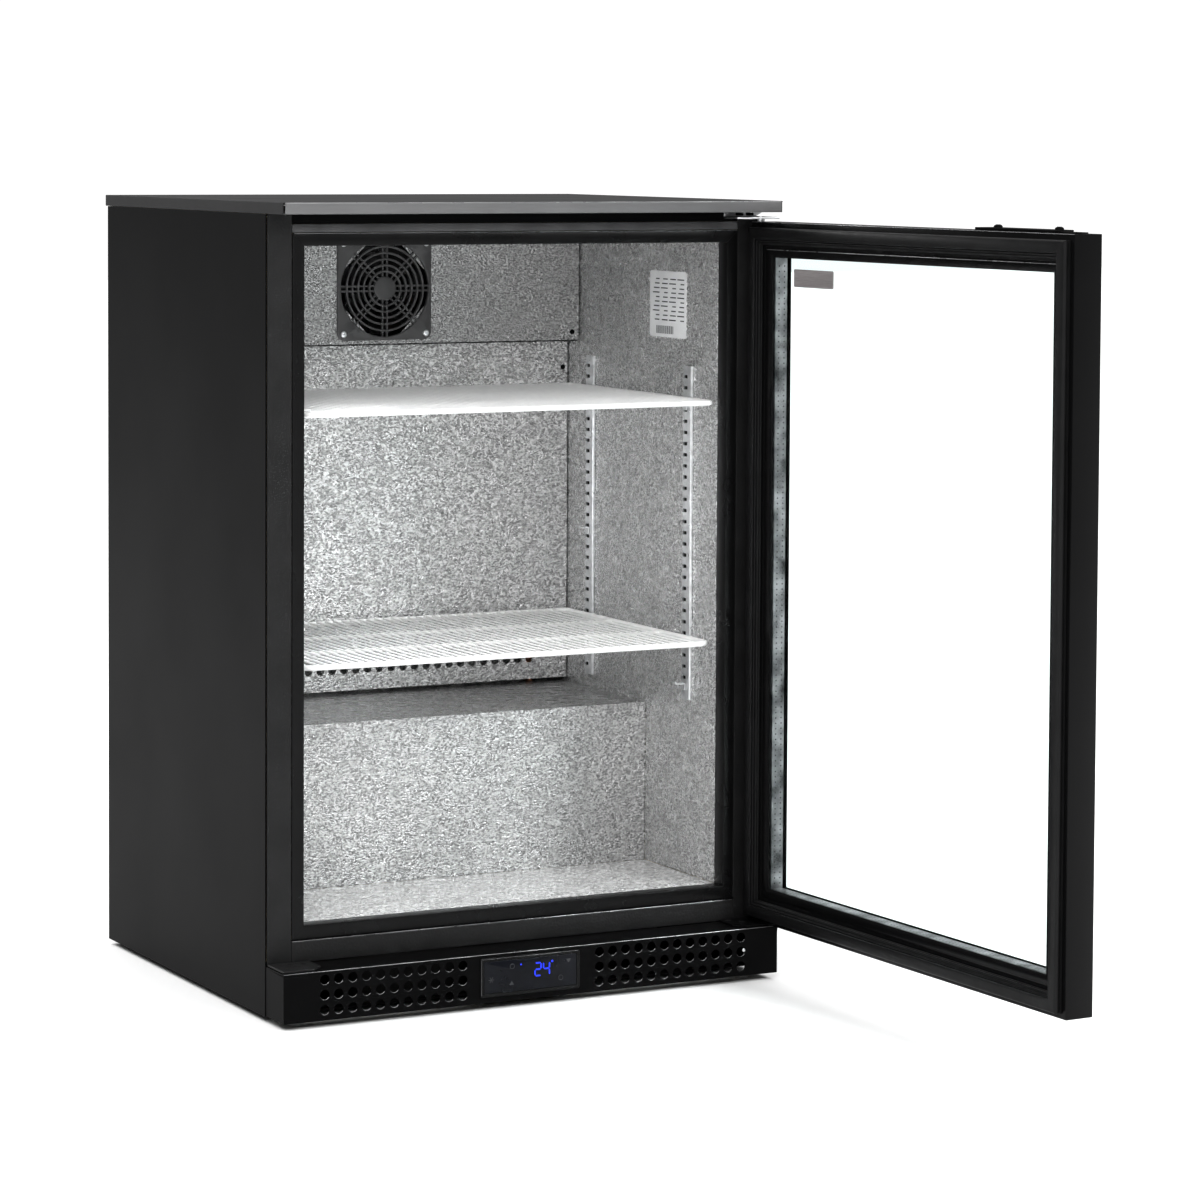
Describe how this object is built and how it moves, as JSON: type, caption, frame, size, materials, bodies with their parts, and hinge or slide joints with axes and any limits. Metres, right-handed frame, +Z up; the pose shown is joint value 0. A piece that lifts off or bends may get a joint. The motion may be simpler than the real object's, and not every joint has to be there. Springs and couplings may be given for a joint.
{
  "type": "under_counter_fridge",
  "caption": "Black under-counter bottle cooler with a clear glass door standing open, bright embossed aluminium interior, white wire shelves, a guarded fan and a vented kick panel",
  "frame": {"origin": "on the underside of the cabinet's base pan, in the middle of the body's width, 6 mm above the floor under the feet (z = 0 is the floor)", "axes": "+X to the right and +Y to the back as seen by a person facing the front, +Z up; the door stands open towards -Y"},
  "size_m": [0.6406, 1.0768, 0.87],
  "materials": {
    "black_steel": "smooth black powder coat, semi-gloss",
    "textured_steel": "black powder coat with a fine leather texture",
    "lid_steel": "dark grey-black satin powder coat",
    "door_profile": "black coated aluminium profile, satin",
    "black_plastic": "smooth black plastic",
    "gasket_rubber": "soft black magnetic gasket, ribbed",
    "stucco_aluminium": "bright embossed aluminium sheet",
    "zinc_steel": "zinc plated steel",
    "coil_fins": "aluminium fins on a coiled tube",
    "white_wire": "white plastic coated steel",
    "lamp_diffuser": "frosted white lamp cover",
    "display_screen": "dark glossy touch panel with blue digits",
    "copper_tube": "drawn copper tube",
    "insulation_foam": "rigid polyurethane foam",
    "door_glass": "clear float glass"
  },
  "bodies": {
    "cabinet": {"base_pan": "black_steel", "left_side_panel": "black_steel", "right_side_panel": "black_steel", "rear_panel": "black_steel", "kick_panel": "black_steel", "bottom_hinge_bracket": "black_steel", "compressor": "black_steel", "rear_grille": "black_steel", "left_stile": "textured_steel", "right_stile": "textured_steel", "header_rail": "textured_steel", "sill_rail": "textured_steel", "spare_hinge_plate": "textured_steel", "top_panel": "lid_steel", "left_breaker": "black_plastic", "right_breaker": "black_plastic", "top_breaker": "black_plastic", "bottom_breaker": "black_plastic", "controller_body": "black_plastic", "evaporator_fan_housing": "black_plastic", "fan_guard": "black_plastic", "condenser_fan_housing": "black_plastic", "drain_tray": "black_plastic", "condensate_pan": "black_plastic", "cable_gland": "black_plastic", "liner_left_wall": "stucco_aluminium", "liner_right_wall": "stucco_aluminium", "liner_ceiling": "stucco_aluminium", "liner_back_wall": "stucco_aluminium", "liner_floor": "stucco_aluminium", "liner_step": "stucco_aluminium", "fan_cover_panel": "stucco_aluminium", "duct_panel": "stucco_aluminium", "top_hinge_bracket": "zinc_steel", "left_front_pilaster": "zinc_steel", "right_front_pilaster": "zinc_steel", "left_rear_pilaster": "zinc_steel", "right_rear_pilaster": "zinc_steel", "evaporator_coil": "coil_fins", "condenser_coil": "coil_fins", "lamp_housing": "white_wire", "lamp_strip": "lamp_diffuser", "controller_touch_panel": "display_screen", "suction_line": "copper_tube", "discharge_line": "copper_tube", "insulation": "insulation_foam"},
    "door": {"door_frame": "door_profile", "inner_glass": "door_glass", "outer_glass": "door_glass", "glass_spacer": "stucco_aluminium", "door_gasket": "gasket_rubber", "door_top_plate": "black_steel"},
    "upper_shelf_body": {"upper_shelf": "white_wire"},
    "lower_shelf_body": {"lower_shelf": "white_wire"},
    "evaporator_fan": {"evaporator_fan_rotor": "black_plastic"},
    "condenser_fan": {"condenser_fan_rotor": "black_plastic"},
    "foot_front_left": {"front_left_foot": "black_plastic"},
    "foot_front_right": {"front_right_foot": "black_plastic"},
    "foot_rear_left": {"rear_left_foot": "black_plastic"},
    "foot_rear_right": {"rear_right_foot": "black_plastic"}
  },
  "joints": [
    {"name": "door_hinge", "type": "hinge", "parent": "cabinet", "child": "door", "pos_m": [0.289, -0.23, 0.455], "axis": [0, 0, 1], "range_deg": [-92.4, 17.6]},
    {"name": "evaporator_fan_spin", "type": "hinge", "parent": "cabinet", "child": "evaporator_fan", "pos_m": [-0.001, 0.1558, 0.7624], "axis": [0, 1, 0], "continuous": true},
    {"name": "condenser_fan_spin", "type": "hinge", "parent": "cabinet", "child": "condenser_fan", "pos_m": [0.14, 0.102, 0.102], "axis": [0, 1, 0], "continuous": true},
    {"name": "upper_shelf_lift", "type": "slide", "parent": "cabinet", "child": "upper_shelf_body", "axis": [0, 0, 1], "range_m": [0, 0.03]},
    {"name": "lower_shelf_lift", "type": "slide", "parent": "cabinet", "child": "lower_shelf_body", "axis": [0, 0, 1], "range_m": [0, 0.03]},
    {"name": "foot_front_left_extend", "type": "slide", "parent": "cabinet", "child": "foot_front_left", "axis": [0, 0, -1], "range_m": [0, 0.015]},
    {"name": "foot_front_right_extend", "type": "slide", "parent": "cabinet", "child": "foot_front_right", "axis": [0, 0, -1], "range_m": [0, 0.015]},
    {"name": "foot_rear_left_extend", "type": "slide", "parent": "cabinet", "child": "foot_rear_left", "axis": [0, 0, -1], "range_m": [0, 0.015]},
    {"name": "foot_rear_right_extend", "type": "slide", "parent": "cabinet", "child": "foot_rear_right", "axis": [0, 0, -1], "range_m": [0, 0.015]}
  ]
}
